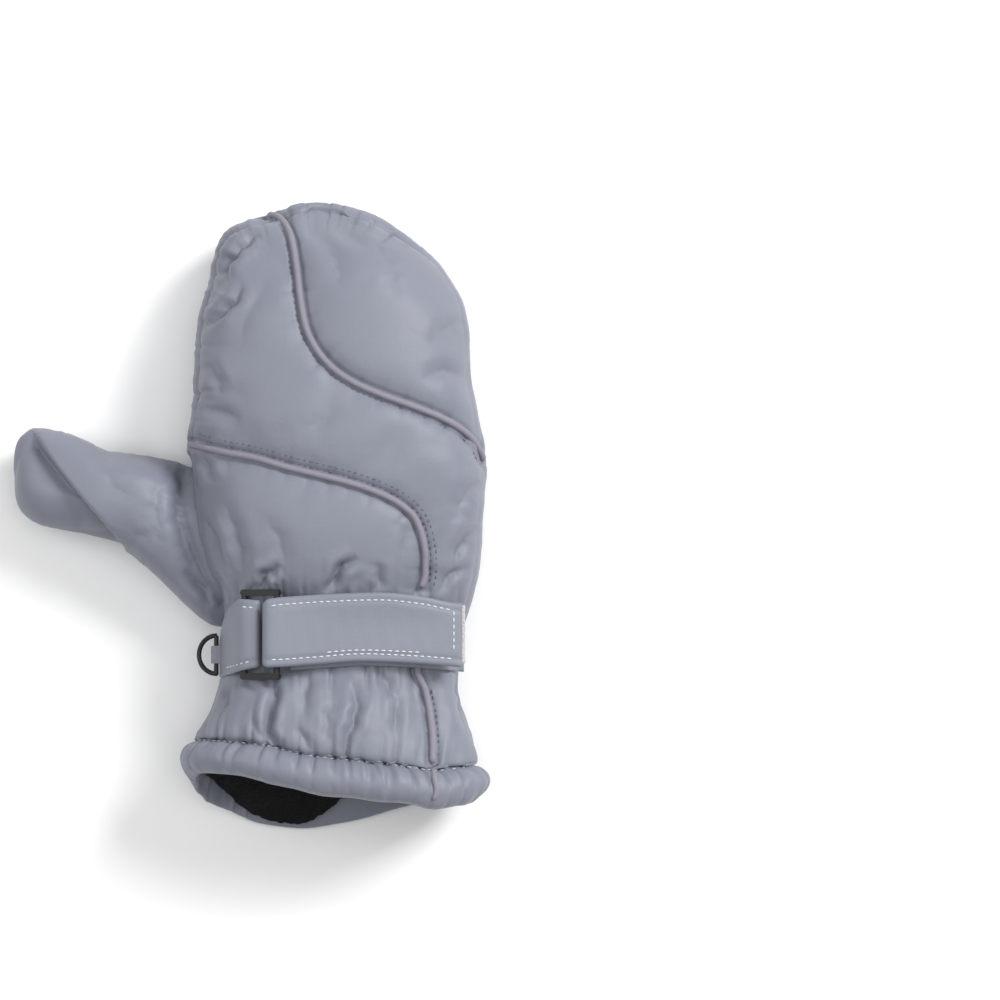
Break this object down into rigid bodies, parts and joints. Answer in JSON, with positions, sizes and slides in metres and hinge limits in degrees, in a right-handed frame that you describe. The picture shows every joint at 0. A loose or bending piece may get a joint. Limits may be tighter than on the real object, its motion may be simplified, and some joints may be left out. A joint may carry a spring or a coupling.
{
  "type": "ski mitten",
  "caption": "Padded ski mitten for the right hand with a curved piped back, bulging gathered cuff, wrist strap through a plastic ring, and a fleece lining.",
  "frame": {"origin": "on the resting face of the palm's grip patch, under the middle of the hand", "axes": "+X away from the thumb, +Y along the hand from cuff to fingertips, +Z from palm to back of hand"},
  "size_m": [0.1926, 0.249, 0.0672],
  "materials": {
    "shell_nylon": "satin",
    "strap_cloth": "satin",
    "piping_cloth": "matte",
    "grip_pu": "matte",
    "elastic_cord": "matte",
    "wadding": "matte",
    "fleece": "matte",
    "touch_tape": "matte",
    "black_plastic": "satin"
  },
  "bodies": {
    "mitten": {"back_tip_panel": "shell_nylon", "back_middle_panel": "shell_nylon", "back_wrist_panel": "shell_nylon", "palm_panel": "shell_nylon", "palm_grip_patch": "grip_pu", "upper_piping": "piping_cloth", "lower_piping": "piping_cloth", "hem_band": "shell_nylon", "hem_elastic": "elastic_cord", "wrist_elastic": "elastic_cord", "back_insulation": "wadding", "palm_insulation": "wadding", "back_lining": "fleece", "palm_lining": "fleece", "gusset_shell": "shell_nylon", "gusset_insulation": "wadding", "gusset_lining": "fleece", "strap_lower": "strap_cloth", "loop_tape": "touch_tape", "anchor_tab": "strap_cloth", "d_ring_loop": "strap_cloth"},
    "thumb": {"thumb_back_panel": "shell_nylon", "thumb_tip_panel": "shell_nylon", "thumb_palm_panel": "shell_nylon", "thumb_insulation": "wadding", "thumb_lining": "fleece"},
    "ring": {"ring_buckle": "black_plastic"},
    "strap": {"strap_flap": "strap_cloth", "hook_tape": "touch_tape"},
    "d_clip": {"d_ring": "black_plastic"}
  },
  "joints": [
    {"name": "thumb_swing", "type": "hinge", "parent": "mitten", "child": "thumb", "pos_m": [-0.062, -0.014, 0.021], "axis": [0, 0, 1], "range_deg": [-14, 14], "stiffness_Nm_per_rad": 0.05, "deforming": ["gusset_shell", "gusset_insulation", "gusset_lining"]},
    {"name": "ring_swing", "type": "hinge", "parent": "mitten", "child": "ring", "pos_m": [-0.03708, -0.062, 0.05107], "axis": [0, -1, 0], "range_deg": [0, 15]},
    {"name": "strap_peel", "type": "hinge", "parent": "ring", "child": "strap", "pos_m": [-0.02392, -0.062, 0.05693], "axis": [0, -1, 0], "range_deg": [0, 140]},
    {"name": "d_ring_swing", "type": "hinge", "parent": "mitten", "child": "d_clip", "pos_m": [-0.0492, -0.0696, 0.031], "axis": [0, 1, 0], "range_deg": [-45, 75]}
  ]
}
